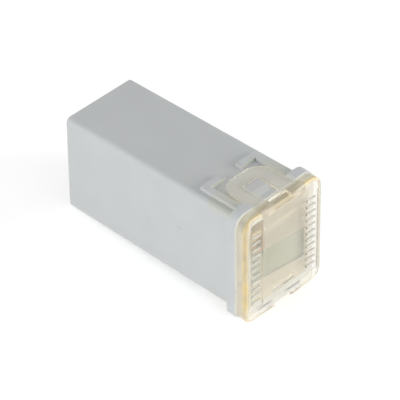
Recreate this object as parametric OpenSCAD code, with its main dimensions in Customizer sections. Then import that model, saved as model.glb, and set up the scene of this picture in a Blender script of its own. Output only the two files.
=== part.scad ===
// Cartridge fuse: a moulded housing, a clear clip-on cap and a folded fuse element
// with two female blade terminals. It lies on its side. X runs from the open terminal
// end to the face of the cap, Y runs across it and Z is up. The origin is under the
// middle of the part, on the plane that the collar rests on.

/* [Housing] */
// Overall length, from the open end to the face of the cap
total_l = 36.2; // [34:0.1:42]
// Width of the body at the collar
body_w = 13.8; // [13.2:0.1:16]
// Height of the body at the collar
body_h = 16.6; // [16:0.1:20]
// How far each side closes in from the collar to the open end
draft = 0.2; // [0.05:0.05:0.3]
// Radius of the body's long edges
edge_r = 0.8; // [0.4:0.1:1.4]
// Wall of the body at the collar
wall = 1.2; // [1:0.05:1.4]
// Radius inside the corners of the cavities
cavity_r = 0.5; // [0.2:0.1:0.8]
// Thickness of the wall between the two terminal cavities
divider_t = 1.2; // [0.8:0.1:1.6]
// Length of that wall from the open end
divider_l = 24; // [22:0.5:26]
// Chamfer round each cavity at the open end
lead_in = 0.4; // [0.2:0.05:0.5]

/* [Collar] */
// How far the collar stands out from the body
collar_step = 1.1; // [0.8:0.05:1.4]
// Length of the collar
collar_l = 1.6; // [1.2:0.05:2.4]
// Corner radius of the collar
collar_r = 2.1; // [1.4:0.1:2.8]

/* [Latch frames] */
// Outer width of the frame round each latch loop
frame_w = 11.2; // [10.8:0.1:12]
// Length of the frame behind the collar
frame_l = 7.25; // [6.8:0.05:8]
// Thickness of the frame's walls
frame_t = 1.05; // [0.8:0.05:1.2]
// Height of the frame above the body
frame_h = 0.55; // [0.4:0.05:0.8]
// Gap in the middle of the frame's rear wall
frame_gap = 3.2; // [2:0.1:4]

/* [Clear cap] */
// Thickness of the cap's flange
cap_t = 1.9; // [1.5:0.05:2.2]
// How far the flange stays inside the collar's outline
cap_inset = 0.1; // [0:0.05:0.3]
// Bevel round the front edge of the flange
cap_bevel = 0.3; // [0.1:0.05:0.5]
// Width of the notches in the flange's upper and lower edge
notch_w = 3.6; // [2.4:0.1:4]
// Depth of those notches
notch_d = 0.8; // [0.4:0.05:0.9]
// Gap all round between the cap's moulded parts and the housing
fit_gap = 0.1; // [0.05:0.05:0.15]
// Length of the two tongues that enter the housing
tongue_l = 3; // [2:0.1:4]
// Thickness of those tongues
tongue_t = 1; // [0.7:0.05:1.1]

/* [Latch loops] */
// Width of each latch loop
loop_w = 8.5; // [8:0.1:8.6]
// Length of each latch loop behind the flange
loop_l = 6.9; // [6.4:0.1:7.4]
// Thickness of each latch loop
loop_t = 0.5; // [0.4:0.05:0.6]
// Corner radius at the end of each latch loop
loop_r = 2.8; // [1.5:0.1:3]
// Width of the window in each latch loop
window_w = 3.2; // [2.6:0.1:3.6]
// Length of the bar at the end of each latch loop
bar_l = 2.3; // [1.8:0.1:2.8]
// Distance from the window to the flange
root_l = 0.5; // [0.2:0.05:0.8]
// Height of the boss that the loop snaps over
boss_h = 0.5; // [0.35:0.05:0.55]
// Length of that boss
boss_l = 2.6; // [2:0.1:3]

/* [Cap face] */
// Distance from the middle of the face to each sunk side band
band_in = 4.3; // [3.8:0.05:4.6]
// Width of each sunk side band
band_w = 2.7; // [2:0.05:2.8]
// Height of the sunk side bands
band_h = 14.2; // [12:0.1:14.6]
// Depth of the sunk side bands
band_d = 0.2; // [0.1:0.05:0.3]
// Number of plain ribs in each side band
ribs = 11; // [5:1:13]
// Thickness of each of those ribs
rib_t = 0.35; // [0.2:0.05:0.5]
// Width of the slim recess near the lower edge
slot_w = 4.4; // [3:0.1:5]
// Height of that recess
slot_h = 1; // [0.8:0.05:1.4]
// Depth of that recess
slot_d = 0.5; // [0.3:0.05:0.8]
// Distance from the middle of the face to the centre of that recess
slot_z = 5.75; // [5.4:0.05:6.6]

/* [Fuse element] */
// Thickness of the metal strip
strip_t = 0.6; // [0.4:0.05:0.8]
// Gap between each edge of the strip and the side wall
strip_gap = 0.2; // [0.1:0.05:0.3]
// Gap between the strip's legs and the tongues of the cap
leg_gap = 0.5; // [0.3:0.05:0.6]
// Gap between the link and the back of the cap's flange
link_gap = 0.15; // [0.1:0.05:0.5]
// Inside radius of the two bends beside the link
bend_r = 1.2; // [0.4:0.1:1.4]
// Width of the neck in the lower leg, where the strip melts
neck_w = 4.4; // [3:0.1:6]
// Radius of the round notches that make the neck
neck_r = 1.6; // [1.2:0.1:1.8]
// Distance from the link to the neck
neck_in = 3.6; // [3.4:0.1:4]
// Width of the small opening in the link
hole_w = 1.3; // [1:0.1:2]
// Height of that opening
hole_h = 1.8; // [1:0.1:2.2]
// Distance from the edge of the link to the centre of that opening
hole_in = 1.7; // [1.1:0.1:2.6]
// Height of that opening's centre above the middle of the link
hole_z = 3.2; // [2.4:0.1:3.4]

/* [Female terminals] */
// Width of the blade that each terminal takes
blade_w = 6.3; // [5.6:0.1:6.4]
// Thickness of that blade
blade_t = 0.8; // [0.6:0.05:1]
// How much the empty terminal is closer than the blade
grip = 0.05; // [0:0.05:0.15]
// Gap beside the blade on each side
blade_gap = 0.15; // [0.05:0.05:0.2]
// Outer radius of the curled sides
curl_r = 1; // [0.9:0.05:1.3]
// Angle that each side curls past its top
curl_turn = 70; // [40:5:85]
// Length of the curled sides
terminal_l = 9; // [7:0.1:9.5]
// Distance from the open end to the mouth of each terminal
recess = 4.6; // [4.4:0.1:5.2]
// Distance from the open end to the shoulders of the strip
shoulder_x = 16; // [15:0.1:17]
// Radius of the detent dimple in each terminal's base
dimple_r = 0.9; // [0.6:0.1:1.2]
// Height of that dimple
dimple_h = 0.25; // [0.1:0.05:0.35]

/* [Guide rails] */
// Gap between the rails and the strip
rail_gap = 0.1; // [0.05:0.05:0.15]
// Height of the lip of each rail under the strip
rail_lip = 0.9; // [0.6:0.1:1.2]

/* [Tin pellet] */
// Length of the pellet across the lower leg
pellet_w = 4.6; // [3:0.1:5]
// Width of the pellet
pellet_l = 2; // [1.2:0.1:2.4]
// Height of the pellet above the strip
pellet_t = 0.9; // [0.5:0.1:1]
// Distance from the link to the middle of the pellet
pellet_in = 6.6; // [6.4:0.1:7.4]

/* [Hidden] */
$fn = 64;
hull_fn = 32;
bite = 0.01;

// Stations along X
x_open = -total_l / 2;
x_face = total_l / 2;
x_cap = x_face - cap_t;
x_collar = x_cap - collar_l;
x_mouth = x_open + recess;
x_shoulder = x_open + shoulder_x;
x_link = x_cap - link_gap;
x_loop = x_cap - loop_l;

// Sizes across the collar, the cap and the bore, and the height of the part's axis
collar_w = body_w + 2 * collar_step;
collar_h = body_h + 2 * collar_step;
cap_w = collar_w - 2 * cap_inset;
cap_h = collar_h - 2 * cap_inset;
axis_z = collar_h / 2;
bore_w = body_w - 2 * wall;
bore_h = body_h - 2 * wall;
tongue_w = bore_w - 2 * fit_gap;
tongue_z = bore_h / 2 - fit_gap - tongue_t;

// The strip fills the bore between the tongues but for its gaps
link_w = bore_w - 2 * strip_gap;
leg_out = tongue_z - leg_gap;
leg_in = leg_out - strip_t;
base_w = blade_w + 2 * (blade_gap + strip_t);
curl_z = leg_in - blade_t + grip - curl_r;
dimple_ball = (dimple_r * dimple_r + dimple_h * dimple_h) / (2 * dimple_h);

// The rails stand between the strip and the side walls, and end with the divider
rail_in = base_w / 2 + blade_gap;
x_divider = x_open + divider_l;

// Raises what is drawn round the part's axis to its place above the resting plane
module on_axis() {
    translate([0, 0, axis_z]) children();
}

// Draws its children and their mirror image across the plane with this normal
module both(normal) {
    children();
    mirror(normal) children();
}

// Draws what belongs to the top and, mirrored, to the underside
module top_and_underside() {
    both([0, 0, 1]) children();
}

// Draws what belongs to the right and, mirrored, to the left
module right_and_left() {
    both([0, 1, 0]) children();
}

// Rectangle with round corners, centred
module round_rect(w, h, r) {
    square([w - 2 * r, h], center = true);
    square([w, h - 2 * r], center = true);
    for (sy = [-1, 1], sz = [-1, 1])
        translate([sy * (w / 2 - r), sz * (h / 2 - r)]) circle(r);
}

// Prism along X with the outline of a rectangle with round corners
module prism(x, l, w, h, r) {
    translate([x, 0, 0])
        rotate([90, 0, 90])
            linear_extrude(l) round_rect(w, h, r);
}

// Part of a ring from one angle to another, at most half a turn
module ring_part(r, t, from, to) {
    far = 2 * r;
    difference() {
        circle(r);
        circle(r - t);
        rotate(from) translate([-far, -2 * far]) square([2 * far, 2 * far]);
        rotate(to) translate([-far, 0]) square([2 * far, 2 * far]);
    }
}

// Box from its lowest corner to its highest
module block(low, high) {
    translate(low) cube(high - low);
}

// Outer form of the body, which closes in a little towards the open end
module body_form() {
    thin = 0.05;
    hull($fn = hull_fn) {
        prism(x_open, thin, body_w - 2 * draft, body_h - 2 * draft, edge_r);
        prism(x_collar - thin, thin + bite, body_w, body_h, edge_r);
    }
}

// Cavity for one terminal, with its chamfered mouth
module terminal_cavity() {
    low = divider_t / 2;
    high = bore_h / 2;
    translate([0, 0, (low + high) / 2]) {
        prism(x_open - 1, divider_l + 2, bore_w, high - low, cavity_r);
        hull($fn = hull_fn) {
            prism(x_open - bite, bite, bore_w + 2 * lead_in, high - low + 2 * lead_in, cavity_r);
            prism(x_open + lead_in, bite, bore_w, high - low, cavity_r);
        }
    }
}

// Low frame that guards a latch loop, open at the collar and split in the middle
module latch_frame() {
    top = body_h / 2 + frame_h;
    low = body_h / 2 - wall / 2;
    inner = frame_w / 2 - frame_t;
    x_rear = x_collar - frame_l;
    right_and_left() {
        block([x_rear, inner, low], [x_collar + bite, frame_w / 2, top]);
        block([x_rear, frame_gap / 2, low], [x_rear + frame_t, inner + bite, top]);
    }
}

// Gap in the collar that a latch loop passes through
module collar_gap() {
    half = loop_w / 2 + fit_gap;
    block([x_collar, -half, body_h / 2], [x_cap + 1, half, collar_h]);
}

// Ramped boss that catches the bar of a latch loop
module latch_boss() {
    foot = body_h / 2 - wall / 2;
    base = body_h / 2;
    x_catch = x_loop + bar_l + fit_gap;
    rotate([90, 0, 0])
        linear_extrude(window_w - 2 * fit_gap, center = true)
            polygon([
                [x_catch, foot],
                [x_catch, base + boss_h],
                [x_catch + boss_l / 4, base + boss_h],
                [x_catch + boss_l, base + bite],
                [x_catch + boss_l, foot]
            ]);
}

// Rail that guides one edge of the strip, with the stop for its shoulder
module guide_rail() {
    top = bore_h / 2 + bite;
    low = leg_in - rail_gap - rail_lip;
    difference() {
        block([x_mouth, rail_in, low], [x_divider, bore_w / 2 + bite, top]);
        block(
            [x_shoulder, rail_in - 1, leg_in - rail_gap],
            [x_divider + 1, bore_w / 2, leg_out + rail_gap]
        );
    }
}

module housing() {
    color("#dcdedb") on_axis() {
        difference() {
            union() {
                body_form();
                prism(x_collar, collar_l, collar_w, collar_h, collar_r);
                top_and_underside() latch_frame();
            }
            top_and_underside() {
                terminal_cavity();
                collar_gap();
            }
            prism(x_divider, total_l, bore_w, bore_h, cavity_r);
        }
        top_and_underside() {
            latch_boss();
            right_and_left() guide_rail();
        }
    }
}

// Latch loop with its window, flush inside its frame
module latch_loop() {
    floor_z = body_h / 2 + fit_gap;
    translate([0, 0, floor_z])
        linear_extrude(loop_t)
            difference() {
                union() {
                    translate([x_loop, -loop_w / 2 + loop_r]) square([loop_l + bite, loop_w - 2 * loop_r]);
                    translate([x_loop + loop_r, -loop_w / 2]) square([loop_l - loop_r + bite, loop_w]);
                    for (side = [-1, 1])
                        translate([x_loop + loop_r, side * (loop_w / 2 - loop_r)]) circle(loop_r);
                }
                translate([x_loop + bar_l, -window_w / 2]) square([loop_l - bar_l - root_l, window_w]);
            }
}

// Flange with its bevelled front edge
module flange() {
    thin = 0.05;
    hull($fn = hull_fn) {
        prism(x_cap, cap_t - cap_bevel, cap_w, cap_h, collar_r - cap_inset);
        prism(
            x_face - thin, thin,
            cap_w - 2 * cap_bevel, cap_h - 2 * cap_bevel,
            collar_r - cap_inset - cap_bevel
        );
    }
}

// Sunk band beside the middle of the face, crossed by plain ribs
module side_band() {
    pitch = band_h / (ribs + 1);
    difference() {
        block([x_face - band_d, band_in, -band_h / 2], [x_face + 1, band_in + band_w, band_h / 2]);
        for (i = [1:ribs])
            block(
                [x_face - band_d - bite, band_in + band_w * 0.2, i * pitch - (band_h + rib_t) / 2],
                [x_face, band_in + band_w * 0.8, i * pitch - (band_h - rib_t) / 2]
            );
    }
}

module clear_cap() {
    color("#e8d9a8", 0.6) on_axis() {
        difference() {
            flange();
            top_and_underside()
                block([x_cap - 1, -notch_w / 2, cap_h / 2 - notch_d], [x_face + 1, notch_w / 2, cap_h]);
            translate([x_face - slot_d, 0, -slot_z])
                block([0, -slot_w / 2, -slot_h / 2], [1, slot_w / 2, slot_h / 2]);
            right_and_left() side_band();
        }
        difference() {
            prism(x_cap - tongue_l, tongue_l + bite, tongue_w, 2 * (tongue_z + tongue_t), cavity_r - fit_gap);
            block([x_cap - tongue_l - 1, -tongue_w, -tongue_z], [x_cap, tongue_w, tongue_z]);
        }
        top_and_underside() latch_loop();
    }
}

// Side view of the folded strip: two legs, two bends and the link between them
module strip_side() {
    bend_out = bend_r + strip_t;
    both([0, 1]) {
        translate([x_shoulder, leg_in]) square([x_link - bend_out - x_shoulder, strip_t]);
        translate([x_link - bend_out, leg_out - bend_out]) ring_part(bend_out, strip_t, 0, 90);
    }
    translate([x_link - strip_t, bend_out - leg_out]) square([strip_t, 2 * (leg_out - bend_out)]);
}

// End view of one female terminal: its base and the two sides curled over it
module terminal_end() {
    fold = strip_t + 0.15;
    translate([fold - base_w / 2, leg_in]) square([base_w - 2 * fold, strip_t]);
    both([1, 0]) {
        translate([base_w / 2 - fold, leg_out - fold]) ring_part(fold, strip_t, 0, 90);
        translate([base_w / 2 - strip_t, curl_z]) square([strip_t, leg_out - fold - curl_z]);
        translate([base_w / 2 - curl_r, curl_z]) {
            ring_part(curl_r, strip_t, 180, 360);
            ring_part(curl_r, strip_t, 180 - curl_turn, 180);
        }
    }
}

// Female terminal with the short tongue that joins it to the strip's shoulders
module terminal() {
    translate([x_mouth, 0, 0])
        rotate([90, 0, 90])
            linear_extrude(terminal_l) terminal_end();
    block(
        [x_mouth + terminal_l - bite, bite - base_w / 2, leg_in],
        [x_shoulder + bite, base_w / 2 - bite, leg_out]
    );
    // Detent dimple that clicks into the hole of the blade
    translate([x_mouth + terminal_l / 2, 0, leg_in + dimple_ball - dimple_h])
        intersection() {
            sphere(dimple_ball);
            block([-dimple_r, -dimple_r, -dimple_ball], [dimple_r, dimple_r, dimple_h - dimple_ball + bite]);
        }
}

// Notch in the lower leg, with a round end that leaves half of the neck standing beside it
module neck_notch() {
    x_neck = x_link - neck_in;
    centre = neck_w / 2 + neck_r;
    low = -leg_out - strip_t;
    translate([x_neck, centre, low]) cylinder(r = neck_r, h = 3 * strip_t);
    block([x_neck - neck_r, centre, low], [x_neck + neck_r, link_w / 2 + 1, low + 3 * strip_t]);
}

// Small opening through the link, on its right side as seen from the open end
module link_hole() {
    translate([x_link - strip_t - 1, hole_in - link_w / 2, hole_z])
        block([0, -hole_w / 2, -hole_h / 2], [strip_t + 2, hole_w / 2, hole_h / 2]);
}

module fuse_element() {
    color("#b9b9a8") on_axis() {
        difference() {
            rotate([90, 0, 0]) linear_extrude(link_w, center = true) strip_side();
            right_and_left() neck_notch();
            link_hole();
        }
        top_and_underside() terminal();
    }
}

// Bar of tin soldered across the inner face of the lower leg, beside the neck
module tin_pellet() {
    round_r = (pellet_l * pellet_l / 4 + pellet_t * pellet_t) / (2 * pellet_t);
    color("#c9ccd0") on_axis()
        translate([x_link - pellet_in, 0, -leg_in])
            rotate([90, 0, 0])
                linear_extrude(pellet_w, center = true)
                    intersection() {
                        translate([0, pellet_t - round_r]) circle(round_r);
                        translate([-pellet_l / 2, 0]) square([pellet_l, pellet_t]);
                    }
}

housing();
clear_cap();
fuse_element();
tin_pellet();
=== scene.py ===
import math

import bmesh
import bpy
from mathutils import Euler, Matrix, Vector, noise


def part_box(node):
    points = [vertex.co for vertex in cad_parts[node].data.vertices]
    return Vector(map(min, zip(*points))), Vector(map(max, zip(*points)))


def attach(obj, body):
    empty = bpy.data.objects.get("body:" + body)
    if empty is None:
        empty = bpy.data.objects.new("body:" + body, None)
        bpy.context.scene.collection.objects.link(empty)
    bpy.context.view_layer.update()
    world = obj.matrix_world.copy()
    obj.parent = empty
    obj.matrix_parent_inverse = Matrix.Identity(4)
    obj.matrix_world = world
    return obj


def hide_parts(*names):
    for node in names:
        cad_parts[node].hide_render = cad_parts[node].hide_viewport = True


# The looks of a cartridge fuse: a white moulded housing, a clear amber cap clipped on its
# end, and the tinned fuse element behind it. Everything is in metres, in the part's frame.

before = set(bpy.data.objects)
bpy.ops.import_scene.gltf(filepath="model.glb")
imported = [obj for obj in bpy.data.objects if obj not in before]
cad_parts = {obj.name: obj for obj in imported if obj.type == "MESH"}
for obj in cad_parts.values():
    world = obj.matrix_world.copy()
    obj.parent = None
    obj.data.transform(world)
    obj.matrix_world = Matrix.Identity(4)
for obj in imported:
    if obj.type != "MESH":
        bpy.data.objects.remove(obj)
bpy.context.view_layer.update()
MM = 0.001
TOUCH = 0.001 * MM

HOUSING_LOW, HOUSING_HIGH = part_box("housing")
CAP_LOW, CAP_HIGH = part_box("clear_cap")
LINK_LOW, LINK_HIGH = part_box("fuse_element")
PELLET_LOW, PELLET_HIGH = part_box("tin_pellet")
AXIS_Z = (HOUSING_LOW.z + HOUSING_HIGH.z) / 2
FACE_X = CAP_HIGH.x
COLLAR_FACE_X = HOUSING_HIGH.x

# Radius left by the mould, or by the press, on the edges of each piece
HOUSING_EDGE = 0.14 * MM
CAP_EDGE = 0.12 * MM
STRIP_EDGE = 0.05 * MM

# Sunk side bands of the cap's face, and the plain ribs that cross them
BAND_IN = 4.3 * MM
BAND_W = 2.7 * MM
BAND_H = 14.2 * MM
BAND_D = 0.2 * MM
RIBS = 11
RIB_LENGTH = 1.7 * MM
RIB_THICKNESS = 0.42 * MM
RIB_STATIONS = 17
RIB_SIDES = 16

# Slim recess in the cap's face, its width and height, and its middle's height from the axis
RECESS_W = 4.4 * MM
RECESS_H = 1.0 * MM
RECESS_RISE = -5.75 * MM

# Corner radius of the flange, highest point of the tongues and floor of the flange's notches,
# from the axis, and the slightly sloping edges of the polished window
FLANGE_R = 2.0 * MM
TONGUE_TOP = 7.3 * MM
NOTCH_FLOOR = 8.5 * MM
WINDOW_LOW = -3.63 * MM
WINDOW_HIGH = 1.4 * MM
WINDOW_SLOPE = 0.126

# Air left behind the flange and at the tongues' roots, where the solids touch
FLANGE_AIR = 0.03 * MM
TONGUE_AIR = 0.02 * MM

# Heights on the link, from its middle, between which the painted light on its upper part fades
# in
TONE_LOW = 0.6 * MM
TONE_HIGH = 1.6 * MM

# Small opening in the link, seen beside the left band
OPENING_Y = -3.8 * MM
OPENING_Z = AXIS_Z + 3.2 * MM
OPENING_W = 1.3 * MM
OPENING_H = 1.8 * MM
LINK_T = 0.6 * MM
LINK_HALF_H = 4.1 * MM

# Shallow round marks on the housing's left side: X, height from the axis, radius, depth
SIDE_MARKS = (
    (-1.71 * MM, -1.5 * MM, 0.45 * MM, 0.08 * MM),
    (4.45 * MM, 0.2 * MM, 0.8 * MM, 0.13 * MM),
)

# Half the body's height where the latch frames start
BODY_TOP = 8.3 * MM

# Edges that the fuse rests on: the collar's rear edge and the open end's lower edge
REST_X = 14.6 * MM
OPEN_END_Z = 1.3 * MM

# Tints of the clear plastic: inside, along its edges, on its walls, and where it is rough, with
# painted glow, highlight, glare and shade among them
PLAIN = (0.97, 0.955, 0.915)
PALE_GLARE = (0.92, 0.915, 0.91)
AMBER_GLOW = (0.85, 0.675, 0.34)
CREAM_HIGHLIGHT = (0.96, 0.92, 0.84)
SIDE = (0.80, 0.755, 0.67)
TOP = (0.70, 0.69, 0.61)
FROSTED_PINK = (0.80, 0.715, 0.625)
FROSTED_YELLOW = (0.755, 0.72, 0.585)
SHADED = (0.60, 0.55, 0.46)
BROWN_DARK = (0.53, 0.465, 0.34)
BROWN_LIGHT = (0.68, 0.61, 0.47)
YELLOW_GLOW = (0.97, 0.86, 0.62)
NOTCH_EDGE_SHADE = (0.62, 0.53, 0.38)
LOOP_EDGE = (0.96, 0.91, 0.78)
BAND_SHADE = (0.60, 0.50, 0.38)
LOWER_RIM_GLARE = (0.93, 0.91, 0.89)
WHITE_STRIP_GLARE = (0.92, 0.91, 0.875)
RECESS_PALE = (0.86, 0.80, 0.74)
RIB_DARK = (0.74, 0.725, 0.66)
RIB_LIGHT = (0.87, 0.86, 0.81)
AMBER_DEPTH = (0.985, 0.86, 0.2)
LIGHT_THROUGH = (0.99, 0.975, 0.93)

# Tones of the housing: plain, the painted green-tinted shade in the frames' corners, the painted
# light and shade on the frames and bosses, and the painted shade in the marks
PLASTIC_DARK = (0.612, 0.632, 0.635)
PLASTIC_LIGHT = (0.632, 0.652, 0.655)
FRAME_CORNER_SHADE = (0.60, 0.615, 0.55)
FRAME_TOP_LIGHT = (0.68, 0.69, 0.725)
FRAME_REAR_HIGHLIGHT = (0.76, 0.775, 0.79)
FRAME_INSIDE_SHADE = (0.53, 0.545, 0.48)
BOSS_SHADE = (0.575, 0.575, 0.572)
MARK_SHADE = (0.555, 0.57, 0.57)

# Tones of the metal, the link's lit tones being painted light on its upper part, and of the
# floor under the fuse
LIT_TIN_DARK = (0.36, 0.345, 0.25)
LIT_TIN_LIGHT = (0.41, 0.40, 0.285)
LOWER_TIN_DARK = (0.305, 0.33, 0.225)
LOWER_TIN_LIGHT = (0.345, 0.37, 0.257)
WORN_COPPER = (0.50, 0.21, 0.10)
COPPER_DARK = (0.72, 0.26, 0.10)
COPPER_LIGHT = (0.92, 0.42, 0.20)
TIN_DARK = (0.52, 0.53, 0.54)
TIN_LIGHT = (0.70, 0.71, 0.72)
FLOOR_DARK = (0.86, 0.86, 0.86)
FLOOR_LIGHT = (0.88, 0.88, 0.88)
WHITE = (1.0, 1.0, 1.0)

PLASTIC_IOR = 1.5


# Shaping

def merged_copy(node):
    """The CAD solid as one closed mesh, its triangles' corners joined."""
    shape = bmesh.new()
    shape.from_mesh(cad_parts[node].data)
    bmesh.ops.remove_doubles(shape, verts=shape.verts, dist=TOUCH)
    return shape


def join_flat_faces(shape):
    bmesh.ops.dissolve_limit(
        shape, angle_limit=math.radians(0.6), verts=shape.verts, edges=shape.edges
    )


def piece_from(shape, name, materials):
    mesh = bpy.data.meshes.new(name)
    shape.to_mesh(mesh)
    shape.free()
    for material in materials:
        mesh.materials.append(material)
    piece = bpy.data.objects.new(name, mesh)
    bpy.context.scene.collection.objects.link(piece)
    return piece


def applied(piece):
    """Turns the piece and its modifiers into one plain mesh."""
    graph = bpy.context.evaluated_depsgraph_get()
    mesh = bpy.data.meshes.new_from_object(piece.evaluated_get(graph))
    piece.modifiers.clear()
    piece.data = mesh
    return piece


def soften_edges(piece, radius, steps=3, over=34):
    """Rounds every edge sharper than `over` degrees, as a mould leaves it."""
    bevel = piece.modifiers.new("rounded edges", "BEVEL")
    bevel.width = radius
    bevel.segments = steps
    bevel.limit_method = "ANGLE"
    bevel.angle_limit = math.radians(over)
    bevel.use_clamp_overlap = True
    for face in piece.data.polygons:
        face.use_smooth = True
    # Two rounded edges that meet in a low wall leave a seam of no width
    seam = piece.modifiers.new("closed seams", "WELD")
    seam.merge_threshold = TOUCH
    normals = piece.modifiers.new("even shading", "WEIGHTED_NORMAL")
    normals.weight = 80
    return applied(piece)


def on_body(piece, slot, *nodes):
    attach(piece, "root")
    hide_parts(*nodes)
    return piece


# Node trees

def feed(tree, value, socket):
    """Puts a number, a colour or another node's result into a socket."""
    if isinstance(value, bpy.types.NodeSocket):
        tree.links.new(value, socket)
    elif isinstance(value, tuple):
        socket.default_value = (*value, 1)
    else:
        socket.default_value = value


def maths(tree, operation, *values):
    """One step of arithmetic; the values are numbers or other nodes' results."""
    node = tree.nodes.new("ShaderNodeMath")
    node.operation = operation
    for socket, value in zip(node.inputs, values):
        feed(tree, value, socket)
    return node.outputs["Value"]


def map_range(tree, value, ends, results, smooth=False):
    """Maps the span between two ends onto the span between two results."""
    node = tree.nodes.new("ShaderNodeMapRange")
    if smooth:
        node.interpolation_type = "SMOOTHSTEP"
    names = ("From Min", "From Max", "To Min", "To Max")
    for name, number in zip(names, (*ends, *results)):
        node.inputs[name].default_value = number
    tree.links.new(value, node.inputs["Value"])
    return node.outputs["Result"]


class Finish:
    """One material, and the steps that lead to its shader.

    A mask is a node's result that is 1 where something lies and 0 elsewhere.
    """

    def __init__(self, name):
        self.material = bpy.data.materials.new(name)
        self.material.use_nodes = True
        self.tree = self.material.node_tree
        self.shader = self.tree.nodes["Principled BSDF"]
        self.output = self.tree.nodes["Material Output"]

    def add(self, kind):
        return self.tree.nodes.new(kind)

    def link(self, value, socket):
        self.tree.links.new(value, socket)

    def maths(self, operation, *values):
        return maths(self.tree, operation, *values)

    def times(self, first, *others):
        """Where all the masks lie at once."""
        for other in others:
            first = self.maths("MULTIPLY", first, other)
        return first

    def either(self, first, *others):
        """Where at least one of the masks lies."""
        for other in others:
            first = self.maths("MAXIMUM", first, other)
        return first

    def without(self, mask):
        return self.maths("SUBTRACT", 1.0, mask)

    def away_from(self, value, centre):
        return self.maths("ABSOLUTE", self.maths("SUBTRACT", value, centre))

    def length(self, a, b):
        squares = self.maths("ADD", self.maths("POWER", a, 2.0), self.maths("POWER", b, 2.0))
        return self.maths("SQRT", squares)

    def fade(self, value, start, end):
        """Passes smoothly from 1 to 0 as the value goes from start to end."""
        return map_range(self.tree, value, (start, end), (1.0, 0.0), smooth=True)

    def grow(self, value, start, end, least=0.0, full=1.0):
        """Passes smoothly from least to full as the value goes from start to end."""
        return map_range(self.tree, value, (start, end), (least, full), smooth=True)

    def position(self):
        """The piece's own X, Y and Z."""
        split = self.add("ShaderNodeSeparateXYZ")
        self.link(self.add("ShaderNodeTexCoord").outputs["Object"], split.inputs["Vector"])
        return split.outputs["X"], split.outputs["Y"], split.outputs["Z"]

    def facing(self):
        """X, Y and Z of the direction in which the surface faces."""
        split = self.add("ShaderNodeSeparateXYZ")
        self.link(self.add("ShaderNodeNewGeometry").outputs["Normal"], split.inputs["Vector"])
        return split.outputs["X"], split.outputs["Y"], split.outputs["Z"]

    def grain(self, scale, detail=3.0, stretch=(1, 1, 1)):
        """Noise fixed to the piece, in cells of about 1/scale metres."""
        mapping = self.add("ShaderNodeMapping")
        mapping.inputs["Scale"].default_value = stretch
        cells = self.add("ShaderNodeTexNoise")
        cells.inputs["Scale"].default_value = scale
        cells.inputs["Detail"].default_value = detail
        self.link(self.add("ShaderNodeTexCoord").outputs["Object"], mapping.inputs["Vector"])
        self.link(mapping.outputs["Vector"], cells.inputs["Vector"])
        return cells.outputs["Fac"]

    def spread(self, grain, low, high):
        """Spreads the middle of a noise over the range from low to high."""
        return map_range(self.tree, grain, (0.3, 0.7), (low, high))

    def two_tones(self, value, dark, light, start=0.35, end=0.65):
        ramp = self.add("ShaderNodeValToRGB")
        ramp.color_ramp.elements[0].position = start
        ramp.color_ramp.elements[0].color = (*dark, 1)
        ramp.color_ramp.elements[1].position = end
        ramp.color_ramp.elements[1].color = (*light, 1)
        self.link(value, ramp.inputs["Fac"])
        return ramp.outputs["Color"]

    def lay(self, under, *layers):
        """Lays tints over a colour, in turn; each layer is a tint and its mask."""
        for tint, mask in layers:
            mix = self.add("ShaderNodeMix")
            mix.data_type = "RGBA"
            self.link(mask, mix.inputs["Factor"])
            feed(self.tree, under, mix.inputs["A"])
            feed(self.tree, tint, mix.inputs["B"])
            under = mix.outputs["Result"]
        return under

    def colour(self, value):
        self.link(value, self.shader.inputs["Base Color"])

    def roughness(self, grain, low, high):
        self.link(self.spread(grain, low, high), self.shader.inputs["Roughness"])

    def relief(self, height, depth, strength):
        bump = self.add("ShaderNodeBump")
        bump.inputs["Strength"].default_value = strength
        bump.inputs["Distance"].default_value = depth
        self.link(height, bump.inputs["Height"])
        self.link(bump.outputs["Normal"], self.shader.inputs["Normal"])


# White housing

def frame_tones(mix, x, y, rise):
    """Tints and masks of the painted light and shade on the latch frames and their bosses, and
    of the painted green-tinted shade in the frames' corners.
    """
    across = mix.maths("ABSOLUTE", y)
    height = mix.maths("ABSOLUTE", rise)
    # Painted shade, tinted green, in the latch frames' corners and on the side just under them
    corner_shade = mix.times(
        mix.grow(x, 9.2 * MM, 10.4 * MM, full=0.8),
        mix.fade(x, 13.8 * MM, 14.6 * MM),
        mix.grow(height, 6.6 * MM, 8.2 * MM),
        mix.grow(across, 3.2 * MM, 4.6 * MM),
    )
    in_frame = mix.times(
        mix.grow(height, BODY_TOP, BODY_TOP + 0.08 * MM), mix.fade(x, 13.0 * MM, 13.4 * MM)
    )
    # Painted light on the tops of the frame walls
    crown = mix.grow(height, BODY_TOP + 0.55 * MM, BODY_TOP + 0.8 * MM)
    forward = mix.facing()[0]
    # Painted highlight on the frames' rear-facing edges
    rear_edge_highlight = mix.fade(forward, -0.9, -0.2)
    # Painted shade on the frame walls that face the cap
    inner_wall_shade = mix.grow(forward, 0.3, 0.8)
    # Painted shade on the bosses inside the frames
    boss_shade = mix.fade(across, 1.9 * MM, 2.3 * MM)
    return (
        (FRAME_CORNER_SHADE, corner_shade),
        (FRAME_TOP_LIGHT, mix.times(in_frame, crown)),
        (FRAME_REAR_HIGHLIGHT, mix.times(in_frame, rear_edge_highlight)),
        (FRAME_INSIDE_SHADE, mix.times(in_frame, inner_wall_shade)),
        (BOSS_SHADE, mix.times(in_frame, boss_shade)),
    )


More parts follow.
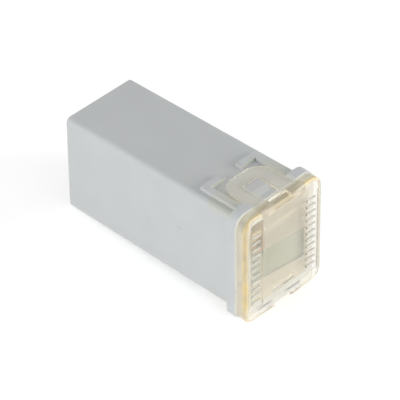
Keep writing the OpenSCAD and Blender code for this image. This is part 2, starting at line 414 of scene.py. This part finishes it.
def mark_tones(mix, x, y, rise):
    """The shade in the upper half of each round mark on the left side."""
    left_side = mix.fade(y, -1.0 * MM, 0.0)
    tones = []
    for mark_x, mark_rise, radius, _ in SIDE_MARKS:
        away = mix.length(
            mix.maths("SUBTRACT", x, mark_x), mix.maths("SUBTRACT", rise, mark_rise)
        )
        hollow = mix.times(mix.fade(away, 0.0, radius), left_side)
        upper_half = mix.grow(rise, mark_rise, mark_rise + 0.3 * radius)
        tones.append((MARK_SHADE, mix.times(hollow, upper_half)))
    return tones


def housing_plastic():
    """Cool white moulded plastic, a little translucent, with a soft sheen."""
    mix = Finish("white moulded plastic")
    x, y, z = mix.position()
    rise = mix.maths("SUBTRACT", z, AXIS_Z)
    plain = mix.two_tones(mix.grain(160), PLASTIC_DARK, PLASTIC_LIGHT)
    mix.colour(mix.lay(plain, *frame_tones(mix, x, y, rise), *mark_tones(mix, x, y, rise)))
    moulded = mix.grain(5200, 4)
    mix.roughness(moulded, 0.48, 0.6)
    mix.relief(moulded, 0.02 * MM, 0.35)
    mix.shader.inputs["Subsurface Weight"].default_value = 0.25
    mix.shader.inputs["Subsurface Radius"].default_value = (1.0, 0.95, 0.85)
    mix.shader.inputs["Subsurface Scale"].default_value = 0.8 * MM
    mix.shader.inputs["IOR"].default_value = PLASTIC_IOR
    return mix.material


# Clear cap

def depth_in_flange(mix, across, height):
    """How far a point lies inside the flange's rounded outline."""
    half_w = (CAP_HIGH.y - CAP_LOW.y) / 2
    half_h = (CAP_HIGH.z - CAP_LOW.z) / 2
    past_y = mix.maths("SUBTRACT", across, half_w - FLANGE_R)
    past_z = mix.maths("SUBTRACT", height, half_h - FLANGE_R)
    corner = mix.length(mix.either(past_y, 0.0), mix.either(past_z, 0.0))
    flat = mix.maths("MINIMUM", mix.either(past_y, past_z), 0.0)
    return mix.maths("SUBTRACT", FLANGE_R, mix.maths("ADD", corner, flat))


class CapPlace:
    """Where a point of the cap lies, as the distances and masks that its tones go by."""

    def __init__(self, mix):
        self.x, self.y, z = mix.position()
        self.rise = mix.maths("SUBTRACT", z, AXIS_Z)
        self.across = mix.maths("ABSOLUTE", self.y)
        self.height = mix.maths("ABSOLUTE", self.rise)
        self.depth = depth_in_flange(mix, self.across, self.height)
        self.past_edge = mix.maths("ADD", self.depth, mix.maths("SUBTRACT", FACE_X, self.x))
        self.uneven = mix.spread(mix.grain(420, 2), 0.7, 1.0)
        self.in_front = mix.grow(self.x, FACE_X - 0.45 * MM, FACE_X - 0.3 * MM)
        behind_from = COLLAR_FACE_X + 0.05 * MM
        self.behind = mix.fade(self.x, behind_from, behind_from + 0.04 * MM)
        self.over_loop = mix.times(
            mix.fade(self.across, 4.2 * MM, 4.6 * MM), mix.grow(self.rise, 7.6 * MM, 8.2 * MM)
        )


def amber_glow_ring(mix, at):
    """Painted amber glow where light gathered in the plate comes out, along its left and upper
    front edge.
    """
    return mix.times(
        mix.fade(at.past_edge, 0.48 * MM, 0.85 * MM),
        at.uneven,
        mix.fade(at.y, CAP_HIGH.y - 1.3 * MM, CAP_HIGH.y - 0.4 * MM),
        mix.grow(at.rise, -8.2 * MM, -5.0 * MM, least=0.55),
        mix.without(at.over_loop),
    )


def back_edge_highlight(mix, at):
    """Painted highlight on the plate's back edge, all round."""
    off_back = mix.maths("ADD", at.depth, mix.away_from(at.x, COLLAR_FACE_X))
    return mix.fade(off_back, 0.12 * MM, 0.26 * MM)


def notch_marks(mix, at):
    """Painted yellow glow on the notches' front, the painted shadow of the gap behind the upper
    one as a dark stroke, and painted shade that dims their front edge.
    """
    off_floor = mix.away_from(at.height, NOTCH_FLOOR)
    notch = mix.times(
        mix.fade(at.across, 1.9 * MM, 3.6 * MM), mix.fade(off_floor, 0.2 * MM, 0.45 * MM)
    )
    front = mix.grow(at.x, COLLAR_FACE_X + 0.95 * MM, COLLAR_FACE_X + 1.15 * MM)
    stroke = mix.times(
        notch,
        mix.without(front),
        mix.grow(at.x, COLLAR_FACE_X + 0.3 * MM, COLLAR_FACE_X + 0.45 * MM),
        mix.grow(at.rise, 0.0, 1.0 * MM),
    )
    edge = mix.times(notch, mix.grow(at.x, FACE_X - 0.17 * MM, FACE_X - 0.08 * MM))
    return mix.times(notch, front), stroke, edge


def rough_back(mix, at):
    """The tongues and the plate's back round its polished window, and the shade above it."""
    sloped = mix.maths("ADD", at.rise, mix.maths("MULTIPLY", at.y, WINDOW_SLOPE))
    below = mix.fade(sloped, WINDOW_LOW - 0.04 * MM, WINDOW_LOW + 0.04 * MM)
    above = mix.times(
        mix.grow(sloped, WINDOW_HIGH - 0.5 * MM, WINDOW_HIGH + 0.5 * MM),
        mix.grow(at.y, -3.5 * MM, -2.9 * MM, least=0.1),
    )
    beside = mix.grow(at.y, 4.7 * MM, 5.2 * MM)
    under_loops = mix.fade(at.height, 7.2 * MM, 7.7 * MM)
    rough = mix.times(at.behind, mix.either(below, above, beside), under_loops)
    return rough, mix.times(rough, above, mix.fade(at.y, 4.0 * MM, 5.2 * MM))


def cap_walls(mix, at):
    """The flange's side walls, its top wall, and the walls of the latch loops."""
    side = mix.fade(at.depth, 0.04 * MM, 0.12 * MM)
    top = mix.times(side, mix.grow(at.rise, 7.6 * MM, 8.8 * MM))
    upright = mix.fade(mix.maths("ABSOLUTE", mix.facing()[2]), 0.3, 0.9)
    loop = mix.times(upright, mix.grow(at.height, 8.2 * MM, 8.35 * MM), at.behind)
    return side, top, loop


def recess_mark(mix, at):
    """The floor of the slim recess, and its walls to just under the mouth."""
    return mix.times(
        mix.fade(at.across, RECESS_W / 2 - 0.05 * MM, RECESS_W / 2 + 0.05 * MM),
        mix.fade(mix.away_from(at.rise, RECESS_RISE), RECESS_H / 2, RECESS_H / 2 + 0.05 * MM),
        mix.grow(at.x, FACE_X - 0.7 * MM, FACE_X - 0.6 * MM),
        mix.fade(at.x, FACE_X - 0.4 * MM, FACE_X - 0.25 * MM),
    )


def face_marks(mix, at):
    """The shade at the left band's top, and the painted glare on the pale lower rim and on the
    white right strip.
    """
    band_top = mix.times(
        at.in_front,
        mix.fade(at.y, -4.4 * MM, -4.2 * MM),
        mix.grow(at.rise, 1.5 * MM, 4.0 * MM),
        mix.grow(at.depth, 0.9 * MM, 1.1 * MM),
    )
    lower_rim_glare = mix.times(at.in_front, at.uneven, mix.fade(at.rise, -8.0 * MM, -6.9 * MM))
    strip = mix.times(
        at.in_front,
        mix.grow(at.y, 5.9 * MM, 6.2 * MM),
        mix.fade(at.y, 6.95 * MM, 7.05 * MM),
    )
    return band_top, lower_rim_glare, strip


def let_light_in(mix, tint):
    """Lets the light of lamps and of pale surfaces through to what lies behind."""
    path = mix.add("ShaderNodeLightPath").outputs
    open_way = mix.add("ShaderNodeBsdfTransparent")
    open_way.inputs["Color"].default_value = (*tint, 1)
    choose = mix.add("ShaderNodeMixShader")
    mix.link(mix.either(path["Is Shadow Ray"], path["Is Diffuse Ray"]), choose.inputs["Fac"])
    mix.link(mix.shader.outputs["BSDF"], choose.inputs[1])
    mix.link(open_way.outputs["BSDF"], choose.inputs[2])
    mix.link(choose.outputs["Shader"], mix.output.inputs["Surface"])


def clear_amber():
    """Clear plastic whose amber tint deepens with the length of plastic looked through.

    Its front edges have a painted amber glow where light gathered in the plate comes out, its
    back edge a painted cream highlight, and the mould left the tongues rough.
    """
    mix = Finish("clear amber plastic")
    at = CapPlace(mix)
    amber, cream = amber_glow_ring(mix, at), back_edge_highlight(mix, at)
    brown = mix.times(at.over_loop, mix.fade(at.past_edge, 0.9 * MM, 1.9 * MM))
    yellow, stroke, notch_edge_shade = notch_marks(mix, at)
    rough, shaded = rough_back(mix, at)
    side_wall, top_wall, loop_wall = cap_walls(mix, at)
    recess = recess_mark(mix, at)
    band_top, lower_rim_glare, strip = face_marks(mix, at)
    # Painted glare on the right of the face and low on it
    pale = mix.either(
        mix.grow(at.y, 4.0 * MM, 5.2 * MM), mix.fade(at.rise, -7.2 * MM, -5.2 * MM)
    )

    mottle = mix.grain(1100, 3, (1, 1, 0.45))
    frosted = mix.two_tones(mottle, FROSTED_YELLOW, FROSTED_PINK, 0.4, 0.6)
    lines = mix.grain(2600, 1, (1, 0.12, 1))
    brown_lines = mix.two_tones(lines, BROWN_DARK, BROWN_LIGHT, 0.44, 0.56)
    mix.colour(mix.lay(
        PLAIN,
        (PALE_GLARE, pale),
        (frosted, rough),
        (SHADED, shaded),
        (SIDE, side_wall),
        (TOP, top_wall),
        (LOOP_EDGE, loop_wall),
        # Painted glow, painted shadow and painted shade at the notches
        (YELLOW_GLOW, yellow),
        (brown_lines, mix.times(brown, mix.without(yellow))),
        (BROWN_DARK, stroke),
        (NOTCH_EDGE_SHADE, notch_edge_shade),
        (BAND_SHADE, band_top),
        (RECESS_PALE, recess),
        # Painted glare on the lower rim and right strip, painted highlight on the back edge, and
        # painted amber glow
        (LOWER_RIM_GLARE, lower_rim_glare),
        (WHITE_STRIP_GLARE, strip),
        (CREAM_HIGHLIGHT, cream),
        (AMBER_GLOW, amber),
    ))

    # How much each mark scatters the light instead of passing it on
    scatter = mix.spread(mix.grain(260), 0.10, 0.18)
    shares = (
        (amber, 0.72), (cream, 0.85), (rough, 0.6), (brown, 0.75), (yellow, 0.75),
        (loop_wall, 0.5), (side_wall, 0.45), (pale, 0.25), (stroke, 0.7), (lower_rim_glare, 0.6),
        (strip, 0.7), (band_top, 0.35), (recess, 0.55),
    )
    for mask, share in shares:
        scatter = mix.either(scatter, mix.times(mask, share))
    mix.link(mix.without(scatter), mix.shader.inputs["Transmission Weight"])

    mix.shader.inputs["IOR"].default_value = PLASTIC_IOR
    mix.roughness(mix.grain(900, 2), 0.0, 0.05)
    mix.relief(mix.grain(500, 2, (1, 0.25, 1)), 0.02 * MM, 0.06)
    tint = mix.add("ShaderNodeVolumeAbsorption")
    tint.inputs["Color"].default_value = (*AMBER_DEPTH, 1)
    tint.inputs["Density"].default_value = 20
    mix.link(tint.outputs["Volume"], mix.output.inputs["Volume"])
    let_light_in(mix, LIGHT_THROUGH)
    return mix.material


def frosted_amber():
    """The same plastic where the mould was left rough, on the ribs."""
    mix = Finish("frosted amber plastic")
    mix.shader.inputs["Transmission Weight"].default_value = 0.45
    mix.shader.inputs["IOR"].default_value = PLASTIC_IOR
    frost = mix.grain(6000)
    mix.colour(mix.two_tones(frost, RIB_DARK, RIB_LIGHT))
    mix.roughness(frost, 0.25, 0.45)
    mix.relief(frost, 0.02 * MM, 0.3)
    return mix.material


# Metals

def worn_corner(mix, x, y, z):
    """Where the plating is worn at the lower right corner of the link's opening."""
    beside = mix.maths("SUBTRACT", mix.away_from(y, OPENING_Y), OPENING_W / 2)
    under = mix.maths("SUBTRACT", mix.away_from(z, OPENING_Z), OPENING_H / 2)
    return mix.times(
        mix.fade(mix.either(beside, under), 0.45 * MM, 0.85 * MM),
        mix.fade(z, OPENING_Z, OPENING_Z + 0.5 * MM),
        mix.grow(x, LINK_HIGH.x - 0.7 * MM, LINK_HIGH.x - 0.5 * MM),
        mix.grow(y, OPENING_Y - 0.5 * MM, OPENING_Y + 0.3 * MM, least=0.15),
    )


def tinned_strip():
    """Satin tin plate on a copper alloy, with painted light that makes the upper part of the
    link brighter than the lower.
    """
    mix = Finish("tinned strip")
    mix.shader.inputs["Metallic"].default_value = 1.0
    x, y, z = mix.position()
    brushed = mix.grain(2600, 2, (1, 0.06, 1))
    lit_tones = mix.two_tones(brushed, LIT_TIN_DARK, LIT_TIN_LIGHT)
    dull = mix.two_tones(brushed, LOWER_TIN_DARK, LOWER_TIN_LIGHT)
    sloped = mix.maths("ADD", z, mix.maths("MULTIPLY", y, WINDOW_SLOPE))
    # Painted light: the lit tones cover the link's upper part, over the plainer lower tones
    upper = mix.grow(mix.maths("SUBTRACT", sloped, AXIS_Z), TONE_LOW, TONE_HIGH)
    mix.colour(mix.lay(dull, (lit_tones, upper), (WORN_COPPER, worn_corner(mix, x, y, z))))
    mix.roughness(brushed, 0.34, 0.5)
    mix.relief(brushed, 0.01 * MM, 0.12)
    return mix.material


def plain_metal(name, grain_scale, detail, stretch, tones, roughness, relief):
    """A metal of two tones; the relief is a depth and a strength."""
    mix = Finish(name)
    mix.shader.inputs["Metallic"].default_value = 1.0
    surface = mix.grain(grain_scale, detail, stretch)
    mix.colour(mix.two_tones(surface, *tones))
    mix.roughness(surface, *roughness)
    mix.relief(surface, *relief)
    return mix.material


def bare_copper():
    """Bare copper alloy on the cut edges of the strip, streaked by the shear."""
    return plain_metal(
        "bare copper edge", 3500, 3, (0.3, 1, 1), (COPPER_DARK, COPPER_LIGHT), (0.3, 0.5),
        (0.02 * MM, 0.4),
    )


def dull_tin():
    return plain_metal(
        "dull tin", 1800, 4, (1, 1, 1), (TIN_DARK, TIN_LIGHT), (0.35, 0.55), (0.03 * MM, 0.5)
    )


# Pieces

def press_marker(place, radius, depth):
    """A ball-nosed plug, pointing to +Y, that leaves a shallow round hollow at the place."""
    ball = (radius ** 2 + depth ** 2) / (2 * depth)
    reach = 1.4 * math.asin(radius / ball)
    rows, columns = 10, 48
    shape = bmesh.new()
    tip = shape.verts.new(place + Vector((0, depth, 0)))
    rings = []
    for i in range(1, rows + 1):
        lean = reach * i / rows
        out = ball * math.sin(lean)
        inward = depth - ball * (1 - math.cos(lean))
        ring = []
        for j in range(columns):
            turn = 2 * math.pi * j / columns
            spot = Vector((out * math.cos(turn), inward, out * math.sin(turn)))
            ring.append(shape.verts.new(place + spot))
        rings.append(ring)
    for j in range(columns):
        k = (j + 1) % columns
        shape.faces.new((tip, rings[0][j], rings[0][k]))
        for a, b in zip(rings, rings[1:]):
            shape.faces.new((a[j], b[j], b[k], a[k]))
    shape.faces.new(rings[-1])
    bmesh.ops.recalc_face_normals(shape, faces=shape.faces)
    return piece_from(shape, "press_marker", [])


def press_marks(housing):
    """Sinks the round marks into the left side, wherever that side lies."""
    for mark_x, mark_rise, radius, depth in SIDE_MARKS:
        outside = Vector((mark_x, 2 * HOUSING_LOW.y, AXIS_Z + mark_rise))
        _, place, _, _ = housing.ray_cast(outside, Vector((0, 1, 0)))
        marker = press_marker(place, radius, depth)
        cut = housing.modifiers.new("round mark", "BOOLEAN")
        cut.operation = "DIFFERENCE"
        cut.solver = "EXACT"
        cut.object = marker
        applied(housing)
        bpy.data.objects.remove(marker)


def make_housing():
    shape = merged_copy("housing")
    join_flat_faces(shape)
    housing = piece_from(shape, "white_housing", [housing_plastic()])
    press_marks(housing)
    return on_body(soften_edges(housing, HOUSING_EDGE), "housing_plastic", "housing")


def sink_ribs(shape):
    """Lays the solid's ribs flat, so that the side bands are bare for the rounded ones."""
    for v in shape.verts:
        beside = BAND_IN + 0.01 * MM < abs(v.co.y) < BAND_IN + BAND_W - 0.01 * MM
        if beside and v.co.x > FACE_X - BAND_D - 0.05 * MM:
            v.co.x = FACE_X - BAND_D
    bmesh.ops.remove_doubles(shape, verts=shape.verts, dist=0.012 * MM)


def part_tongues(shape):
    """Closes the back of the plate behind the tongues, and their roots, a hair apart."""
    def in_tongue(v):
        return v.co.x < COLLAR_FACE_X + TOUCH and abs(v.co.z - AXIS_Z) < TONGUE_TOP

    def is_tongue(face):
        behind = face.calc_center_median().x < COLLAR_FACE_X - 0.1 * MM
        return behind and all(in_tongue(v) for v in face.verts)

    bmesh.ops.split(shape, geom=[face for face in shape.faces if is_tongue(face)])
    roots = [edge for edge in shape.edges if edge.is_boundary]
    bmesh.ops.holes_fill(shape, edges=roots)
    bmesh.ops.recalc_face_normals(shape, faces=shape.faces)
    # Only a root's corners have an edge that runs to the tongue's far end
    tongue_end = COLLAR_FACE_X - 0.5 * MM
    for v in shape.verts:
        if abs(v.co.x - COLLAR_FACE_X) > TOUCH or abs(v.co.z - AXIS_Z) > TONGUE_TOP:
            continue
        if any(edge.other_vert(v).co.x < tongue_end for edge in v.link_edges):
            v.co.x -= TONGUE_AIR


def make_cap(material):
    shape = merged_copy("clear_cap")
    sink_ribs(shape)
    part_tongues(shape)
    for v in shape.verts:
        if abs(v.co.x - COLLAR_FACE_X) < TOUCH:
            v.co.x += FLANGE_AIR
    join_flat_faces(shape)
    cap = soften_edges(piece_from(shape, "amber_cap", [material]), CAP_EDGE)
    return on_body(cap, "clear_plastic", "clear_cap")


def is_cut_edge(face):
    """True on the strip's sheared sides and ends, and in the link's opening."""
    middle = face.calc_center_median()
    half_w = (LINK_HIGH.y - LINK_LOW.y) / 2
    side = abs(face.normal.y) > 0.9 and abs(middle.y) > half_w - 0.05 * MM
    in_link = middle.x > LINK_HIGH.x - LINK_T - 0.01 * MM
    in_link = in_link and abs(middle.z - AXIS_Z) < LINK_HALF_H
    opening = in_link and abs(face.normal.x) < 0.1
    end = face.normal.x < -0.9 and middle.x < LINK_LOW.x + 0.05 * MM
    return side or opening or end


def make_element():
    shape = merged_copy("fuse_element")
    join_flat_faces(shape)
    shape.normal_update()
    for face in shape.faces:
        face.material_index = 1 if is_cut_edge(face) else 0
    element = piece_from(shape, "folded_element", [tinned_strip(), bare_copper()])
    return on_body(soften_edges(element, STRIP_EDGE, 2), "tinned_strip", "fuse_element")


def squared(value):
    """Pushes a circle's coordinate outwards, towards a rounded bar's."""
    return math.copysign(abs(value) ** 0.55, value)


def make_pellet():
    """A blob of tin with a soft, uneven crown, flat where it is soldered on."""
    centre = (PELLET_LOW + PELLET_HIGH) / 2
    half = (PELLET_HIGH - PELLET_LOW) / 2
    rows, columns = 24, 40
    inset, crown_curve, unevenness, lumps = 0.98, 0.7, 0.1, 900
    shape = bmesh.new()
    rings = []
    for i in range(1, rows):
        tip = math.pi / 2 * i / (rows - 1)
        ring = []
        for j in range(columns):
            turn = 2 * math.pi * j / columns
            x = squared(math.cos(turn)) * math.sin(tip) * half.x
            y = squared(math.sin(turn)) * math.sin(tip) * half.y
            crown = math.cos(tip) ** crown_curve if i < rows - 1 else 0.0
            uneven = 1 - unevenness * abs(noise.noise(Vector((x, y, 0.003)) * lumps))
            z = PELLET_LOW.z + 2 * half.z * crown * uneven
            ring.append(shape.verts.new((centre.x + x * inset, centre.y + y * inset, z)))
        rings.append(ring)
    top = shape.verts.new((centre.x, centre.y, PELLET_HIGH.z - 0.02 * MM))
    for j in range(columns):
        k = (j + 1) % columns
        shape.faces.new((top, rings[0][k], rings[0][j]))
        for a, b in zip(rings, rings[1:]):
            shape.faces.new((a[j], a[k], b[k], b[j]))
    shape.faces.new(rings[-1])
    bmesh.ops.recalc_face_normals(shape, faces=shape.faces)
    for face in shape.faces:
        face.smooth = True
    pellet = piece_from(shape, "tin_blob", [dull_tin()])
    return on_body(pellet, "tin", "tin_pellet")


def rib_tree(material):
    """Node tree that lays a row of rounded ribs across each side band."""
    tree = bpy.data.node_groups.new("rib rows", "GeometryNodeTree")
    sizes = {
        "Ribs": ("NodeSocketInt", RIBS),
        "Pitch": ("NodeSocketFloat", BAND_H / (RIBS + 1)),
        "Rib Length": ("NodeSocketFloat", RIB_LENGTH),
        "Rib Radius": ("NodeSocketFloat", RIB_THICKNESS / 2),
        "Band Middle": ("NodeSocketFloat", BAND_IN + BAND_W / 2),
        "Floor": ("NodeSocketFloat", FACE_X - BAND_D),
        "Middle Height": ("NodeSocketFloat", AXIS_Z),
    }
    for name, (kind, value) in sizes.items():
        socket = tree.interface.new_socket(name, in_out="INPUT", socket_type=kind)
        socket.default_value = value
    tree.interface.new_socket("Geometry", in_out="OUTPUT", socket_type="NodeSocketGeometry")
    add, link = tree.nodes.new, tree.links.new
    given = add("NodeGroupInput").outputs

    def step(operation, *values):
        return maths(tree, operation, *values)

    def point(x=0.0, y=0.0, z=0.0):
        node = add("ShaderNodeCombineXYZ")
        for socket, value in zip(node.inputs, (x, y, z)):
            feed(tree, value, socket)
        return node.outputs["Vector"]

    half = step("MULTIPLY", given["Rib Length"], 0.5)
    line = add("GeometryNodeCurvePrimitiveLine")
    link(point(y=step("MULTIPLY", half, -1)), line.inputs["Start"])
    link(point(y=half), line.inputs["End"])
    spread = add("GeometryNodeResampleCurve")
    link(line.outputs["Curve"], spread.inputs["Curve"])
    spread.inputs["Count"].default_value = RIB_STATIONS
    # The rib keeps its thickness along most of its length, and closes round at its ends
    along = add("GeometryNodeSplineParameter").outputs["Factor"]
    offset = step("ABSOLUTE", step("SUBTRACT", step("MULTIPLY", along, 2), 1))
    closing = step("SUBTRACT", 1, step("POWER", offset, 10))
    swell = step("POWER", step("MAXIMUM", closing, 0.02), 0.5)
    radius = add("GeometryNodeSetCurveRadius")
    link(spread.outputs["Curve"], radius.inputs["Curve"])
    link(swell, radius.inputs["Radius"])
    ring = add("GeometryNodeCurvePrimitiveCircle")
    ring.inputs["Resolution"].default_value = RIB_SIDES
    link(given["Rib Radius"], ring.inputs["Radius"])
    rib = add("GeometryNodeCurveToMesh")
    link(radius.outputs["Curve"], rib.inputs["Curve"])
    link(ring.outputs["Curve"], rib.inputs["Profile Curve"])
    rib.inputs["Fill Caps"].default_value = True

    gaps = step("SUBTRACT", given["Ribs"], 1)
    run = step("MULTIPLY", gaps, step("MULTIPLY", given["Pitch"], 0.5))
    lowest = step("SUBTRACT", given["Middle Height"], run)
    both = add("GeometryNodeJoinGeometry")
    for side in (-1, 1):
        row = add("GeometryNodeMeshLine")
        link(given["Ribs"], row.inputs["Count"])
        start = point(given["Floor"], step("MULTIPLY", given["Band Middle"], side), lowest)
        link(start, row.inputs["Start Location"])
        link(point(z=given["Pitch"]), row.inputs["Offset"])
        placed = add("GeometryNodeInstanceOnPoints")
        link(row.outputs["Mesh"], placed.inputs["Points"])
        link(rib.outputs["Mesh"], placed.inputs["Instance"])
        link(placed.outputs["Instances"], both.inputs["Geometry"])
    solid = add("GeometryNodeRealizeInstances")
    link(both.outputs["Geometry"], solid.inputs["Geometry"])
    finish = add("GeometryNodeSetMaterial")
    finish.inputs["Material"].default_value = material
    link(solid.outputs["Geometry"], finish.inputs["Geometry"])
    link(finish.outputs["Geometry"], add("NodeGroupOutput").inputs["Geometry"])
    return tree


def make_ribs():
    material = frosted_amber()
    ribs = piece_from(bmesh.new(), "band_ribs", [material])
    rows = ribs.modifiers.new("rib rows", "NODES")
    rows.node_group = rib_tree(material)
    applied(ribs)
    for face in ribs.data.polygons:
        face.use_smooth = True
    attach(ribs, "root")
    return ribs


# Stage

def make_camera():
    """A long lens from the front left, above the fuse."""
    data = bpy.data.cameras.new("camera")
    data.lens = 276.394
    data.sensor_width = 36
    data.clip_start, data.clip_end = 0.01, 10
    camera = bpy.data.objects.new("camera", data)
    camera.location = (0.238701, -0.244126, 0.284311)
    camera.rotation_euler = Euler([math.radians(a) for a in (51.0703, 0.5079, 43.7206)])
    bpy.context.scene.collection.objects.link(camera)
    bpy.context.scene.camera = camera


def camera_sees(tree):
    """1 for what the camera sees, directly or in or through something clear."""
    path = tree.nodes.new("ShaderNodeLightPath").outputs
    direct_or_mirrored = maths(tree, "MAXIMUM", path["Is Camera Ray"], path["Is Glossy Ray"])
    return maths(tree, "MAXIMUM", direct_or_mirrored, path["Is Transmission Ray"])


def floor_paper():
    """Pale paper, lifted towards white where the camera sees it, and still shadowed."""
    mix = Finish("pale floor")
    mix.colour(mix.two_tones(mix.grain(60), FLOOR_DARK, FLOOR_LIGHT))
    mix.shader.inputs["Roughness"].default_value = 0.9
    glow = mix.add("ShaderNodeEmission")
    glow.inputs["Color"].default_value = (*WHITE, 1)
    mix.link(mix.times(camera_sees(mix.tree), 0.45), glow.inputs["Strength"])
    both = mix.add("ShaderNodeAddShader")
    mix.link(mix.shader.outputs["BSDF"], both.inputs[0])
    mix.link(glow.outputs["Emission"], both.inputs[1])
    mix.link(both.outputs["Shader"], mix.output.inputs["Surface"])
    return mix.material


def make_floor():
    """Pale floor under the two edges that the fuse rests on: the collar's and the open end's."""
    slope = OPEN_END_Z / (HOUSING_LOW.x - REST_X)
    half = 1.2
    square = ((-half, -half), (half, -half), (half, half), (-half, half))
    corners = [(x, y, slope * (x - REST_X)) for x, y in square]
    mesh = bpy.data.meshes.new("floor")
    mesh.from_pydata(corners, [], [(0, 1, 2, 3)])
    mesh.materials.append(floor_paper())
    floor = bpy.data.objects.new("floor", mesh)
    bpy.context.scene.collection.objects.link(floor)


def make_world():
    """White to the eye; its light is softer from straight above than from the sides."""
    world = bpy.data.worlds.new("studio")
    bpy.context.scene.world = world
    world.use_nodes = True
    tree = world.node_tree
    sky = tree.nodes["Background"]
    place = tree.nodes.new("ShaderNodeTexCoord")
    split = tree.nodes.new("ShaderNodeSeparateXYZ")
    tree.links.new(place.outputs["Generated"], split.inputs["Vector"])
    strength = map_range(tree, split.outputs["Z"], (0.0, 1.0), (0.72, 0.43))
    sky.inputs["Color"].default_value = (*WHITE, 1)
    tree.links.new(strength, sky.inputs["Strength"])
    seen = tree.nodes.new("ShaderNodeBackground")
    seen.inputs["Color"].default_value = (*WHITE, 1)
    seen.inputs["Strength"].default_value = 1.0
    choose = tree.nodes.new("ShaderNodeMixShader")
    tree.links.new(camera_sees(tree), choose.inputs["Fac"])
    tree.links.new(sky.outputs["Background"], choose.inputs[1])
    tree.links.new(seen.outputs["Background"], choose.inputs[2])
    tree.links.new(choose.outputs["Shader"], tree.nodes["World Output"].inputs["Surface"])


def make_lamp(name, place, power):
    """A round softbox that is turned to the middle of the fuse."""
    data = bpy.data.lights.new(name, "AREA")
    data.shape = "DISK"
    data.size = 0.4
    data.energy = power
    lamp = bpy.data.objects.new(name, data)
    lamp.location = place
    lamp.rotation_mode = "QUATERNION"
    aim = Vector((0, 0, AXIS_Z)) - lamp.location
    lamp.rotation_quaternion = aim.to_track_quat("-Z", "Y")
    bpy.context.scene.collection.objects.link(lamp)


make_housing()
make_cap(clear_amber())
make_element()
make_pellet()
make_ribs()
make_camera()
make_floor()
make_world()
make_lamp("left softbox", (-0.10, -0.56, 0.16), 1.3)
make_lamp("front softbox", (0.49, 0.26, 0.08), 2.35)
bpy.context.scene.view_settings.view_transform = "Standard"
